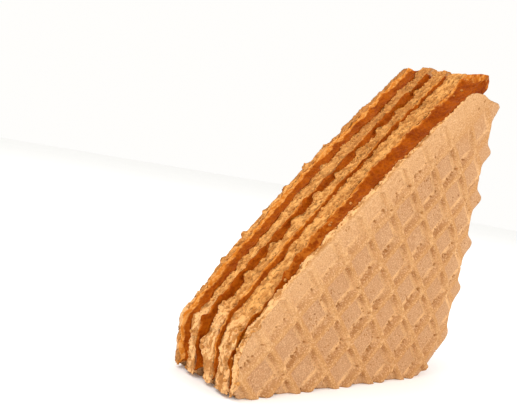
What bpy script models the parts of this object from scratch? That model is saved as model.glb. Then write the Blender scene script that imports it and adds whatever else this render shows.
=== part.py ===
"""A cut piece of caramel filled wafer: five waffle sheets with four caramel layers between them.

The piece stands on its straight natural edge. World X runs along that edge, Z is up, and the
front sheet faces -Y. The waffle grid is turned by 45 degrees: u runs up along the long cut and
v runs down to the right, both counted in cells. Plan points are (x, z) in cells too, with
x = (u + v) / sqrt(2) and z = (u - v) / sqrt(2).
"""

import math
import random

import bmesh
import bpy

COLLECTION_NAME = "cream_filled_wafer"

# Driving sizes, in metres
CELL = 0.0075
FACE_GAP = 0.0003
MERGE_DISTANCE = 1e-6

# Waffle relief, in cells
PAD_EDGE = 0.175
OUTER_RECESS = 0.15
INNER_RECESS = 0.10
OUTER_SHEET_INNER_RECESS = 0.06

# Plan of the piece, in cells
LEFT_X = -0.33
VALLEY_X = 8.18
TIP_X = 8.52
BASE_Z = -1.94
CUT_V = 0.22
CHAMFER_V = 6.22
FIRST_TIP_Z = 0.66
TIP_PITCH = math.sqrt(2.0)
TIP_RISE_BELOW = 0.48
TIP_FALL_ABOVE = 0.20
BASE_NOTCH = 0.07
NOTCH_RISE = 0.25
NOTCH_FALL = 0.10
CORNER_STEP = 0.05
TOP_STEP = 0.03

# Broken top edge of a sheet, as (share of its length from the right, rise in cells)
TOP_BREAK = [(0.35, 0.01), (0.70, 0.05)]

# Crumbled cut, and its lower corner, which is eased more at the front than at the back, in cells
CUT_STEP = 0.5
CUT_CRUMBLE = 0.09
CRUMB_PROUD = 0.3
CRUMB_DRIFT = 0.3
FRONT_CORNER_EASE = 0.38
BACK_CORNER_EASE = 0.12

# Where the caramel stops short of the sheets, in cells
CARAMEL_SETBACK = 0.14
CARAMEL_SIDE_STEP = 0.9
CARAMEL_SIDE_SWAY = 0.06

# Caramel squeezed up over the front sheet at the top corner, as plan points in cells
SQUEEZED_LAYER = "caramel_4"
SQUEEZED_EDGE = [(7.92, 6.50), (8.08, 6.74), (8.03, 7.04), (7.78, 7.20)]

# The stack is pinched at its lower left corner: a sheet swells over PINCH, the front caramel
# over FRONT_SWELL, both as grid coordinates along the cut
PINCH = (-1.0, 1.5)
FRONT_SWELL = (0.3, 4.3)

# Wander of the caramel layers along the cut, in radians a cell
SLOW_SWAY = 1.1
QUICK_SWAY = 2.7

# Extent of the uncut slabs, in cells
SLAB_U = (-3, 11)
SLAB_V = (-1, 8)
CUTTER_HALF_DEPTH = 5.0

WAFER = "wafer"
CARAMEL = "caramel"


class Layer:
    """One layer of the stack, listed from the front to the back; lengths are in cells."""

    def __init__(self, name, kind, thin, thick, top, phase=(0.0, 0.0), sway=0.0, swell=PINCH):
        self.name = name
        self.kind = kind
        self.thin = thin
        self.thick = thick
        self.top = top
        self.phase = phase
        self.sway = sway
        self.swell = swell


LAYERS = [
    Layer("wafer_5", WAFER, 0.30, 0.45, 6.46),
    Layer("caramel_4", CARAMEL, 0.14, 0.52, 7.20, sway=0.01, swell=FRONT_SWELL),
    Layer("wafer_4", WAFER, 0.38, 0.48, 7.14, phase=(0.45, 0.30)),
    Layer("caramel_3", CARAMEL, 0.15, 0.18, 7.04, sway=0.04),
    Layer("wafer_3", WAFER, 0.34, 0.44, 7.26, phase=(0.15, 0.60)),
    Layer("caramel_2", CARAMEL, 0.18, 0.20, 7.12, sway=0.04),
    Layer("wafer_2", WAFER, 0.42, 0.50, 7.44, phase=(0.70, 0.15)),
    Layer("caramel_1", CARAMEL, 0.20, 0.38, 7.24, sway=0.03),
    Layer("wafer_1", WAFER, 0.29, 0.34, 7.40, phase=(0.30, 0.45)),
]


def clear_scene():
    """Remove every object that the scene starts with."""
    for obj in list(bpy.data.objects):
        bpy.data.objects.remove(obj, do_unlink=True)


def make_collection(name):
    """Return a new collection linked to the scene."""
    collection = bpy.data.collections.new(name)
    bpy.context.scene.collection.children.link(collection)
    return collection


def make_material(name, colour, roughness):
    """Return a Principled material with the given base colour and roughness."""
    material = bpy.data.materials.new(name)
    material.use_nodes = True
    shader = material.node_tree.nodes["Principled BSDF"]
    shader.inputs["Base Color"].default_value = (*colour, 1.0)
    shader.inputs["Roughness"].default_value = roughness
    shader.inputs["Metallic"].default_value = 0.0
    material.diffuse_color = (*colour, 1.0)
    return material


def to_plan(u, v):
    """Turn grid coordinates into plan coordinates."""
    return (u + v) / math.sqrt(2.0), (u - v) / math.sqrt(2.0)


def distance_to_line(value):
    """Distance from a grid coordinate to its nearest ridge line."""
    return abs(value - round(value))


def recess(u, v, phase):
    """How far down the side of its square hollow a point lies, from 0 on a ridge to 1 on the pad."""
    nearest = min(distance_to_line(u - phase[0]), distance_to_line(v - phase[1]))
    return min(nearest / PAD_EDGE, 1.0)


def groove(u, phase):
    """The same share between two layers, where only the ridges that cross the cut are kept."""
    return min(distance_to_line(u - phase[0]) / PAD_EDGE, 1.0)


def thickness(layer, u):
    """Thickness of a layer, ridge to ridge, at a place along the cut."""
    start, end = layer.swell
    share = min(max((u - start) / (end - start), 0.0), 1.0)
    eased = share * share * (3.0 - 2.0 * share)
    return layer.thin + (layer.thick - layer.thin) * eased


def sway(index, u):
    """Slow wander of a caramel layer, which carries both of its faces along."""
    layer = LAYERS[index]
    slow = math.sin(SLOW_SWAY * u + 1.9 * index)
    quick = 0.5 * math.sin(QUICK_SWAY * u + index)
    return layer.sway * (slow + quick)


def ridge_depth(index, u):
    """Depth of the ridge tops at boundary number index, counted from the front face."""
    depth = sum(thickness(layer, u) for layer in LAYERS[:index])
    if 0 < index < len(LAYERS):
        caramel = index if LAYERS[index].kind == CARAMEL else index - 1
        depth += sway(caramel, u)
    return depth


def inner_recess(sheet):
    """Depth of the hollows on the inner faces of a sheet."""
    return OUTER_SHEET_INNER_RECESS if sheet in (LAYERS[0], LAYERS[-1]) else INNER_RECESS


def face_depth(layer_index, is_front, u, v):
    """Depth of the front or back face of a layer at (u, v), in cells."""
    layer = LAYERS[layer_index]
    boundary = layer_index if is_front else layer_index + 1
    depth = ridge_depth(boundary, u)
    into_sheet = 1.0 if is_front else -1.0
    if layer.kind == WAFER:
        outer = boundary in (0, len(LAYERS))
        if outer:
            return depth + into_sheet * OUTER_RECESS * recess(u, v, layer.phase)
        return depth + into_sheet * inner_recess(layer) * groove(u, layer.phase)
    sheet = LAYERS[layer_index - 1] if is_front else LAYERS[layer_index + 1]
    depth -= into_sheet * inner_recess(sheet) * groove(u, sheet.phase)
    return depth + into_sheet * FACE_GAP / CELL


def relief_lines(extent, phases):
    """Grid lines at the ridges and at both edges of the pads, for each phase."""
    lines = set()
    for phase in phases:
        for cell in range(extent[0], extent[1] + 1):
            for share in (0.0, PAD_EDGE, 1.0 - PAD_EDGE):
                lines.add(round(cell + phase + share, 6))
    return sorted(lines)


def slab_lines(layer_index):
    """The u and v lines on which the faces of a layer bend."""
    layer = LAYERS[layer_index]
    if layer.kind == CARAMEL:
        phases = [LAYERS[layer_index - 1].phase[0], LAYERS[layer_index + 1].phase[0]]
        return relief_lines(SLAB_U, phases), list(SLAB_V)
    u_lines = relief_lines(SLAB_U, [layer.phase[0]])
    if layer_index in (0, len(LAYERS) - 1):
        return u_lines, relief_lines(SLAB_V, [layer.phase[1]])
    return u_lines, list(SLAB_V)


def add_face_grid(mesh, layer_index, is_front, u_lines, v_lines):
    """Add one relief face of a layer to the mesh and return its faces and rim edges."""
    columns = len(u_lines) - 1
    rows = len(v_lines) - 1
    made = bmesh.ops.create_grid(mesh, x_segments=columns, y_segments=rows, size=1.0)
    for vert in made["verts"]:
        u = u_lines[round((vert.co.x + 1.0) / 2.0 * columns)]
        v = v_lines[round((vert.co.y + 1.0) / 2.0 * rows)]
        x, z = to_plan(u, v)
        vert.co = (x * CELL, face_depth(layer_index, is_front, u, v) * CELL, z * CELL)
    faces = {face for vert in made["verts"] for face in vert.link_faces}
    rim = [edge for face in faces for edge in face.edges if edge.is_boundary]
    return list(faces), list(set(rim))


def make_slab(layer_index):
    """Return the mesh of a layer before it is cut to the plan of the piece."""
    u_lines, v_lines = slab_lines(layer_index)
    mesh = bmesh.new()
    front_faces, front_rim = add_face_grid(mesh, layer_index, True, u_lines, v_lines)
    back_faces, back_rim = add_face_grid(mesh, layer_index, False, u_lines, v_lines)
    bmesh.ops.bridge_loops(mesh, edges=front_rim + back_rim)
    bmesh.ops.triangulate(mesh, faces=front_faces + back_faces, quad_method="LONG_EDGE")
    bmesh.ops.recalc_face_normals(mesh, faces=mesh.faces)
    data = bpy.data.meshes.new(LAYERS[layer_index].name)
    mesh.to_mesh(data)
    mesh.free()
    return data


def corner_ease(layer):
    """How far the lower corner of the cut is eased in this layer."""
    share = LAYERS.index(layer) / (len(LAYERS) - 1)
    return FRONT_CORNER_EASE + share * (BACK_CORNER_EASE - FRONT_CORNER_EASE)


def cut_points(layer, rng):
    """Points of the long cut from its upper end to its eased lower corner, with crumbs broken off."""
    top_u = CUT_V + layer.top * math.sqrt(2.0)
    corner_u = LEFT_X * math.sqrt(2.0) - CUT_V
    corner_z = to_plan(corner_u, CUT_V)[1]
    ease = corner_ease(layer)
    low_u = corner_u + ease
    steps = round((top_u - low_u) / CUT_STEP)
    crumble = CUT_CRUMBLE if layer.kind == WAFER else CUT_CRUMBLE / 2.0
    points = []
    for step in range(1, steps):
        place = step + rng.uniform(-CRUMB_DRIFT, CRUMB_DRIFT)
        u = top_u + (low_u - top_u) * place / steps
        points.append(to_plan(u, CUT_V + rng.uniform(-CRUMB_PROUD, 1.0) * crumble))
    low_end = [to_plan(low_u, CUT_V), (LEFT_X, corner_z - ease)]
    return [to_plan(top_u, CUT_V), *points, *low_end]


def wafer_outline(layer, rng):
    """Plan outline of a sheet: base, broken corner, toothed side, top and cut."""
    corner_x, _ = to_plan(CHAMFER_V + BASE_Z * math.sqrt(2.0), CHAMFER_V)
    points = [(LEFT_X, BASE_Z)]
    notch_x = LEFT_X + TIP_PITCH
    while notch_x < corner_x - TIP_PITCH / 2.0:
        points.append((notch_x - NOTCH_RISE, BASE_Z))
        points.append((notch_x, BASE_Z + BASE_NOTCH))
        points.append((notch_x + NOTCH_FALL, BASE_Z))
        notch_x += TIP_PITCH
    points.append((corner_x, BASE_Z))
    tip_z = FIRST_TIP_Z - TIP_PITCH
    points.append(to_plan(tip_z * math.sqrt(2.0) + CHAMFER_V, CHAMFER_V))
    points.append((VALLEY_X - CORNER_STEP, tip_z + TIP_FALL_ABOVE))
    tip_z += TIP_PITCH
    while tip_z - TIP_RISE_BELOW < layer.top:
        points.append((VALLEY_X, tip_z - TIP_RISE_BELOW))
        if tip_z >= layer.top:
            break
        points.append((TIP_X, tip_z))
        if tip_z + TIP_FALL_ABOVE < layer.top:
            points.append((VALLEY_X, tip_z + TIP_FALL_ABOVE))
        tip_z += TIP_PITCH
    last_x = points[-1][0] - TOP_STEP
    cut = cut_points(layer, rng)
    span = last_x - cut[0][0]
    points.append((last_x, layer.top))
    for share, rise in TOP_BREAK:
        points.append((last_x - share * span, layer.top + rise))
    return points + cut


def caramel_outline(layer, rng):
    """Plan outline of a caramel layer, which stops short of the sheets except along the cut."""
    left = LEFT_X + CARAMEL_SETBACK / 2.0
    base = BASE_Z + CARAMEL_SETBACK
    corner_v = CHAMFER_V - CARAMEL_SETBACK
    points = [(left, base)]
    points.append(to_plan(corner_v + base * math.sqrt(2.0), corner_v))
    side_x = VALLEY_X - CARAMEL_SETBACK
    points.append(to_plan(side_x * math.sqrt(2.0) - corner_v, corner_v))
    upper_end = SQUEEZED_EDGE if layer.name == SQUEEZED_LAYER else [(side_x, layer.top)]
    z = points[-1][1] + CARAMEL_SIDE_STEP
    while z < upper_end[0][1] - CARAMEL_SIDE_STEP / 2.0:
        points.append((side_x + rng.uniform(-1.0, 1.0) * CARAMEL_SIDE_SWAY, z))
        z += CARAMEL_SIDE_STEP
    return points + upper_end + cut_points(layer, rng)


def make_cutter(layer, outline, collection):
    """Return a prism with the plan outline of a layer, as a mesh object that stands upright."""
    curve = bpy.data.curves.new(layer.name + "_plan", "CURVE")
    curve.dimensions = "2D"
    curve.fill_mode = "BOTH"
    curve.extrude = CUTTER_HALF_DEPTH * CELL
    spline = curve.splines.new("POLY")
    spline.points.add(len(outline) - 1)
    for point, (x, z) in zip(spline.points, outline):
        point.co = (x * CELL, z * CELL, 0.0, 1.0)
    spline.use_cyclic_u = True
    guide = bpy.data.objects.new(layer.name + "_plan", curve)
    guide.rotation_euler = (math.pi / 2.0, 0.0, 0.0)
    collection.objects.link(guide)
    bpy.context.view_layer.update()
    evaluated = guide.evaluated_get(bpy.context.evaluated_depsgraph_get())
    data = bpy.data.meshes.new_from_object(evaluated)
    mesh = bmesh.new()
    mesh.from_mesh(data)
    bmesh.ops.remove_doubles(mesh, verts=mesh.verts, dist=MERGE_DISTANCE)
    bmesh.ops.recalc_face_normals(mesh, faces=mesh.faces)
    mesh.to_mesh(data)
    mesh.free()
    cutter = bpy.data.objects.new(layer.name + "_cutter", data)
    cutter.matrix_world = guide.matrix_world
    cutter.hide_render = True
    cutter.display_type = "WIRE"
    collection.objects.link(cutter)
    bpy.data.objects.remove(guide, do_unlink=True)
    return cutter


def make_layer(layer_index, collection, cutters, materials):
    """Make one layer as its slab, cut to its plan outline."""
    layer = LAYERS[layer_index]
    rng = random.Random(100 + layer_index)
    outline = wafer_outline(layer, rng) if layer.kind == WAFER else caramel_outline(layer, rng)
    obj = bpy.data.objects.new(layer.name, make_slab(layer_index))
    obj.data.materials.append(materials[layer.kind])
    collection.objects.link(obj)
    plan = obj.modifiers.new("Plan", "BOOLEAN")
    plan.operation = "INTERSECT"
    plan.solver = "EXACT"
    plan.object = make_cutter(layer, outline, cutters)
    return obj


def stand_on_origin(parts, helpers, collection):
    """Hang everything on an empty, placed so that the base of the piece is centred on the origin."""
    root = bpy.data.objects.new("piece_frame", None)
    collection.objects.link(root)
    bpy.context.view_layer.update()
    graph = bpy.context.evaluated_depsgraph_get()
    corners = []
    for part in parts:
        evaluated = part.evaluated_get(graph)
        corners += [part.matrix_world @ vert.co for vert in evaluated.data.vertices]
    low = [min(corner[axis] for corner in corners) for axis in range(3)]
    high = [max(corner[axis] for corner in corners) for axis in range(3)]
    for obj in parts + helpers:
        obj.parent = root
    root.location = (-(low[0] + high[0]) / 2.0, -(low[1] + high[1]) / 2.0, -low[2])


def main():
    """Build the nine layers of the piece."""
    clear_scene()
    collection = make_collection(COLLECTION_NAME)
    cutters = make_collection("plan_cutters")
    materials = {
        WAFER: make_material("baked_wafer", (0.76, 0.47, 0.24), 0.75),
        CARAMEL: make_material("caramel_cream", (0.50, 0.16, 0.02), 0.30),
    }
    parts = [make_layer(index, collection, cutters, materials) for index in range(len(LAYERS))]
    stand_on_origin(parts, list(cutters.objects), collection)


main()
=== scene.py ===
"""Looks of a cut piece of caramel filled wafer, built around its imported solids.

Five waffle sheets and four caramel layers are remade as fine closed meshes. The waffle grid is
turned by 45 degrees: u runs up along the long cut and v runs down to the right, both in cells.
Plan points are (x, z) in cells with x = (u + v) / sqrt(2) and z = (u - v) / sqrt(2), and depths
are in cells too, from the ridge tops of the front sheet towards the back sheet.
"""

import logging
import math
from dataclasses import dataclass, field
from enum import Enum

import bpy
import numpy as np
from mathutils import Matrix, Vector
from mathutils.geometry import delaunay_2d_cdt


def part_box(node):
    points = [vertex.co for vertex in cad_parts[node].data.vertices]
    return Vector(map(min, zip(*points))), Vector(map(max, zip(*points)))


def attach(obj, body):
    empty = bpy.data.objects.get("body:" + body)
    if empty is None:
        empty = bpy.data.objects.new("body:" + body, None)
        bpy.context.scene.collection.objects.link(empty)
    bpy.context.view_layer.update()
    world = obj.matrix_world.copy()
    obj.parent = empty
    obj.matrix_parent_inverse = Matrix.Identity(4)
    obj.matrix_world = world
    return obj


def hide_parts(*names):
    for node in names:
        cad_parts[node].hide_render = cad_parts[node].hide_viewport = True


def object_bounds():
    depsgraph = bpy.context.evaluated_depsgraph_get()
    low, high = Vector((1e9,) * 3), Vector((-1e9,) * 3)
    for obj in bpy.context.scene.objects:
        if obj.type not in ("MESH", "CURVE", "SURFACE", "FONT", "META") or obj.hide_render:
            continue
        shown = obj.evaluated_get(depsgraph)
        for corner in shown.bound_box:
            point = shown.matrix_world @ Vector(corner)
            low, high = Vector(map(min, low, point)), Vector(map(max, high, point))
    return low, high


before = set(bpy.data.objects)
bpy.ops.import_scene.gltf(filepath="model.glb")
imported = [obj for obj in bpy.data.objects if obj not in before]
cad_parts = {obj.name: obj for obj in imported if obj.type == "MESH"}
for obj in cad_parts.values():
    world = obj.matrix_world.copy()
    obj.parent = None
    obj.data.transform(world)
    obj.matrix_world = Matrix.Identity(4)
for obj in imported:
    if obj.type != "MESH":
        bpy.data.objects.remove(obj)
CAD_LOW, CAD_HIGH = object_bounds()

LOG = logging.getLogger("wafer")
ROOT2 = math.sqrt(2.0)
Colour = tuple[float, float, float]
Band = tuple[float, float, float, float]


class Kind(Enum):
    """What a layer is made of."""

    WAFER = "baked_wafer"
    CARAMEL = "caramel_cream"


class Side(Enum):
    """Which face of a layer is meant."""

    FRONT = 0
    BACK = 1


def to_plan(u: np.ndarray, v: np.ndarray) -> tuple[np.ndarray, np.ndarray]:
    """Grid coordinates to plan coordinates."""
    return (u + v) / ROOT2, (u - v) / ROOT2


def to_grid(x: np.ndarray, z: np.ndarray) -> tuple[np.ndarray, np.ndarray]:
    """Plan coordinates to grid coordinates."""
    return (x + z) / ROOT2, (x - z) / ROOT2


def ease(value: np.ndarray, start: float, end: float) -> np.ndarray:
    """Smooth step from 0 at start to 1 at end."""
    share = np.clip((value - start) / (end - start), 0.0, 1.0)
    return share * share * (3.0 - 2.0 * share)


def band(value: np.ndarray, start: float, full: float, fade: float, end: float) -> np.ndarray:
    """Smooth step up from start to full, and down again from fade to end."""
    return ease(value, start, full) * (1.0 - ease(value, fade, end))


def wander(places: np.ndarray, wavelength: float, seed: int) -> np.ndarray:
    """Smooth random curve between -1 and 1 along a line.

    Args:
        places: Distances along the line.
        wavelength: Distance between two random knots.
        seed: Fixes the random knots.

    Returns:
        The value of the curve at each place.
    """
    count = int(np.ceil(places.max() / wavelength)) + 2
    knots = np.random.default_rng(seed).uniform(-1.0, 1.0, count)
    step = places / wavelength
    low = np.floor(step).astype(int)
    share = step - low
    share = share * share * (3.0 - 2.0 * share)
    return knots[low] * (1.0 - share) + knots[low + 1] * share


def ripple(x: np.ndarray, y: np.ndarray, size: float, seed: int) -> np.ndarray:
    """Smooth random field between -1 and 1 over a plane.

    Args:
        x: First coordinates.
        y: Second coordinates.
        size: Distance between two random knots.
        seed: Fixes the random knots.

    Returns:
        The value of the field at each place.
    """
    table = np.random.default_rng(seed).uniform(-1.0, 1.0, (97, 97))
    across, along = x / size, y / size
    column, row = np.floor(across).astype(int), np.floor(along).astype(int)
    share_x, share_y = ease(across - column, 0.0, 1.0), ease(along - row, 0.0, 1.0)
    low = table[column % 97, row % 97] * (1.0 - share_x) + table[(column + 1) % 97, row % 97] * share_x
    row = row + 1
    high = table[column % 97, row % 97] * (1.0 - share_x) + table[(column + 1) % 97, row % 97] * share_x
    return low * (1.0 - share_y) + high * share_y


@dataclass(frozen=True)
class Plan:
    """Plan of the piece, in cells, and where it stands in the frame."""

    cell: float = 0.0075
    left: float = -0.33
    valley: float = 8.17
    base: float = -1.94
    cut_v: float = 0.22
    lean: float = 0.06
    chamfer_v: float = 6.32
    first_tip: float = 0.77
    tip_pitch: float = ROOT2
    tip_reach: tuple[float, ...] = (0.15, 0.28, 0.34, 0.36, 0.36, 0.38)
    notch: float = 0.07
    setback: float = 0.14
    squeezed_edge: tuple[tuple[float, float], ...] = (
        (7.56, 6.44), (7.64, 6.56), (7.69, 6.72), (7.70, 6.88), (7.68, 7.02), (7.62, 7.15),
    )

    @property
    def origin(self) -> Vector:
        """Where the grid's zero point lies in the frame, in metres."""
        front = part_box("wafer_5")[0].y
        x = CAD_LOW.x - self.left * self.cell
        return Vector((x, front, CAD_LOW.z - self.base * self.cell))

    def place(self, x: np.ndarray, depth: np.ndarray, z: np.ndarray) -> np.ndarray:
        """Plan coordinates and depths in cells to points in the frame, in metres."""
        return np.stack([x, depth, z], axis=-1) * self.cell + np.array(self.origin)


@dataclass(frozen=True)
class Layer:
    """One layer of the stack, with lengths in cells.

    A calm sheet's cut wall breaks only towards its back. A caramel layer thins out to a bright
    lip at its back, bright partly in the thin film's own colour and partly by painted highlight:
    lip is where that starts, as a share of the way through, and lip_from the place along the cut
    from which it shows, with lip_share of its full colour. Its trough is how far the knife's cut
    is hollowed, and lumps how much paler lumps show in it. A squeezed layer ends in a bead at the
    top corner, and its lumps fade out along the cut.
    """

    name: str
    kind: Kind
    top: float
    calm: float = 0.0
    lip: float = 0.8
    lip_from: float = -3.0
    lip_share: float = 1.0
    trough: float = 0.07
    lumps: float = 0.12
    squeezed: bool = False


LAYERS = (
    Layer("wafer_5", Kind.WAFER, 6.52, calm=0.72),
    Layer("caramel_4", Kind.CARAMEL, 7.26, lip_from=1.4, lip_share=0.74, lumps=0.55, squeezed=True),
    Layer("wafer_4", Kind.WAFER, 7.25),
    Layer("caramel_3", Kind.CARAMEL, 7.18, lip=0.74),
    Layer("wafer_3", Kind.WAFER, 7.34),
    Layer("caramel_2", Kind.CARAMEL, 7.22, lip=0.86, trough=0.13),
    Layer("wafer_2", Kind.WAFER, 7.49),
    Layer("caramel_1", Kind.CARAMEL, 7.46, lip=0.66),
    Layer("wafer_1", Kind.WAFER, 7.44),
)
KNOTS = (-1.5, -0.2, 1.0, 2.0, 3.0, 4.0, 5.0, 6.0, 7.0, 8.0, 9.0, 10.0)


@dataclass(frozen=True)
class Seam:
    """Where two layers meet, in cells: depths at the knots along the cut, and its waves."""

    depths: tuple[float, ...]
    hollow: float = 0.03
    phase: float = 0.0
    pitch: float = 1.0
    ripple: float = 0.036

    def depth(self, u: np.ndarray) -> np.ndarray:
        """Depth of the sheet's ridges along the cut."""
        return np.interp(u, KNOTS, self.depths)

    def wave(self, u: np.ndarray) -> np.ndarray:
        """How far into a hollow of the sheet each place lies, from 0 at a ridge to 1."""
        step = (u - self.phase) / self.pitch
        return ease(np.abs(step - np.round(step)), 0.03, 0.24)


SEAMS = (
    Seam((0.0,) * len(KNOTS)),
    Seam((0.24, 0.38, 0.48, 0.54, 0.57, 0.57, 0.56, 0.52, 0.46, 0.38, 0.29, 0.24), ripple=0.022),
    Seam((0.29, 0.43, 0.55, 0.80, 0.94, 1.01, 1.04, 1.05, 1.03, 0.99, 0.94, 0.92), phase=0.4),
    Seam((0.77, 1.02, 1.15, 1.25, 1.36, 1.47, 1.52, 1.56, 1.59, 1.59, 1.55, 1.52), 0.02, 0.45),
    Seam((0.92, 1.17, 1.33, 1.43, 1.51, 1.59, 1.65, 1.69, 1.72, 1.72, 1.68, 1.64), 0.03, 0.15),
    Seam((1.42, 1.70, 1.84, 1.94, 2.03, 2.10, 2.14, 2.18, 2.20, 2.22, 2.22, 2.22), 0.17, 0.10, 1.045),
    Seam((1.57, 1.84, 1.98, 2.08, 2.16, 2.22, 2.26, 2.30, 2.32, 2.35, 2.34, 2.34), 0.03, 0.12, 1.045),
    Seam((1.98, 2.17, 2.33, 2.45, 2.60, 2.71, 2.77, 2.82, 2.81, 2.78, 2.79, 2.77), 0.06, 0.45),
    Seam((2.27, 2.48, 2.72, 2.85, 3.00, 3.12, 3.19, 3.24, 3.25, 3.25, 3.25, 3.25), 0.02, 0.30),
    Seam((2.40, 2.62, 3.00, 3.16, 3.29, 3.39, 3.46, 3.49, 3.49, 3.49, 3.49, 3.49)),
)


@dataclass(frozen=True)
class Relief:
    """Waffle pattern of an outer face: square hollows between flat crests, in cells.

    Each band says where a line of colour starts, is full, fades and ends across a square, seen
    along u or along v. The far walls rise beyond the floor; painted shade darkens them and their
    feet, and a painted highlight gives the floor a pale rim in front of them.
    """

    phase: tuple[float, float]
    seed: int
    depth: float = 0.125
    crest_half: float = 0.065
    pad_edge: float = 0.150
    broad_wall: float = 0.55
    wobble: float = 0.011
    valley: float = 7.95
    far_wall_u: Band = (0.84, 0.88, 0.92, 0.97)
    far_wall_v: Band = (0.79, 0.83, 0.91, 0.97)
    foot_u: Band = (0.82, 0.86, 0.87, 0.91)
    foot_v: Band = (0.76, 0.80, 0.81, 0.85)
    floor_rim_u: Band = (0.76, 0.80, 0.84, 0.88)
    floor_rim_v: Band = (0.70, 0.74, 0.79, 0.83)
    crest_line: Band = (0.93, 0.97, 0.98, 1.0)
    worn_low: float = 0.12
    worn_high: float = 0.34
    worn_corner: float = 0.85

    def shares(self, u: np.ndarray, v: np.ndarray) -> tuple[np.ndarray, np.ndarray]:
        """Place of each point within its square, from 0 to 1 both ways, a little wavy."""
        broad_u, broad_v = (ripple(u, v, 0.45, self.seed + step) for step in (0, 1))
        fine_u, fine_v = (ripple(u, v, 0.13, self.seed + step) for step in (7, 8))
        bent_u = u - self.phase[0] + self.wobble * (broad_u + 0.7 * fine_u)
        bent_v = v - self.phase[1] + self.wobble * (broad_v + 0.7 * fine_v)
        return bent_u - np.floor(bent_u), bent_v - np.floor(bent_v)

    def hollow(self, u: np.ndarray, v: np.ndarray) -> np.ndarray:
        """How far down into its square hollow each point lies, from 0 on a crest to 1."""
        share_u, share_v = self.shares(u, v)
        far_v = self.crest_half + self.broad_wall * (1.0 - 0.045 - share_v)
        nearest = np.minimum(np.minimum(share_u, 1.0 - share_u), np.minimum(share_v, far_v))
        straight = np.clip((nearest - self.crest_half) / (self.pad_edge - self.crest_half), 0.0, 1.0)
        return 0.8 * straight + 0.2 * ease(straight, 0.0, 1.0)

    def worn(self, u: np.ndarray, v: np.ndarray) -> np.ndarray:
        """Share of the pattern that is left: little along the cut and at the top corner."""
        lost = self.worn_low + self.worn_high * ease(u, 4.5, 7.5)
        along_cut = 1.0 - lost * (1.0 - ease(v, 0.45, 1.15))
        corner = 1.0 - self.worn_corner * ease(u, 7.5, 8.7) * (1.0 - ease(v, 0.8, 1.7))
        return along_cut * corner

    def sunk(self, u: np.ndarray, v: np.ndarray) -> np.ndarray:
        """Depth of each point below the crests, in cells."""
        hollow = self.hollow(u, v) * self.worn(u, v)
        x, _ = to_plan(u, v)
        edge = ease(x, self.valley - 0.75, self.valley)
        hollow = hollow + (1.0 - hollow) * edge
        swell = 0.014 * (1.0 + ripple(u, v, 1.3, self.seed + 2))
        grain = 0.006 * (1.0 + ripple(u, v, 0.10, self.seed + 3))
        return self.depth * hollow + swell + grain

    def wall_shade(self, u: np.ndarray, v: np.ndarray) -> np.ndarray:
        """Painted shade on the far walls of the hollows and at their feet, from 0 to 1."""
        share_u, share_v = self.shares(u, v)
        wall_u = band(share_u, *self.far_wall_u) * ease(share_v, 0.04, 0.12)
        wall_u = wall_u * (0.9 - 0.85 * ease(share_v, 0.22, 0.60))
        wall_v = band(share_v, *self.far_wall_v) * ease(share_u, 0.03, 0.12)
        wall_v = wall_v * (1.0 - 0.65 * ease(share_u, 0.30, 0.75))
        patchy = 0.60 + 0.26 * ripple(u, v, 0.30, self.seed + 4) + 0.30 * ripple(u, v, 0.9, self.seed + 5)
        x, _ = to_plan(u, v)
        away = 1.0 - ease(x, self.valley - 0.6, self.valley)
        away = away * (0.35 + 0.65 * ease(v, 0.75, 1.10))
        foot_u = band(share_u, *self.foot_u) * ease(share_v, 0.03, 0.10)
        foot_v = band(share_v, *self.foot_v) * ease(share_u, 0.03, 0.10)
        feet = np.maximum(foot_u, foot_v) * (0.60 + 0.40 * ripple(u, v, 0.33, self.seed + 10))
        walls = np.maximum(wall_u, wall_v) * patchy * away
        return np.clip(np.maximum(walls * self.worn(u, v), feet * np.sqrt(self.worn(u, v))), 0.0, 1.0)

    def lit_rim(self, u: np.ndarray, v: np.ndarray) -> np.ndarray:
        """Painted highlights: pale rims of the floors, pale lower walls and broken pale crest lines, from 0
        to 1.
        """
        share_u, share_v = self.shares(u, v)
        line_u = band(share_u, *self.floor_rim_u) * (1.0 - ease(share_v, 0.84, 0.88))
        line_v = band(share_v, *self.floor_rim_v) * (1.0 - ease(share_u, 0.84, 0.88))
        broken = 0.7 + 0.5 * ripple(u, v, 0.3, self.seed + 6)
        lines = np.maximum(line_u, line_v) * broken
        slope = band(share_u, *self.far_wall_u) * ease(share_v, 0.25, 0.65)
        crest_u, crest_v = (band(share, *self.crest_line) for share in (share_u, share_v))
        faint = np.clip(0.12 + 0.45 * ripple(u, v, 0.4, self.seed + 9), 0.0, 1.0)
        lines = np.maximum(lines, np.maximum(crest_u, 0.7 * crest_v) * faint)
        return np.clip(np.maximum(lines, 0.55 * slope) * self.worn(u, v), 0.0, 1.0)


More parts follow.
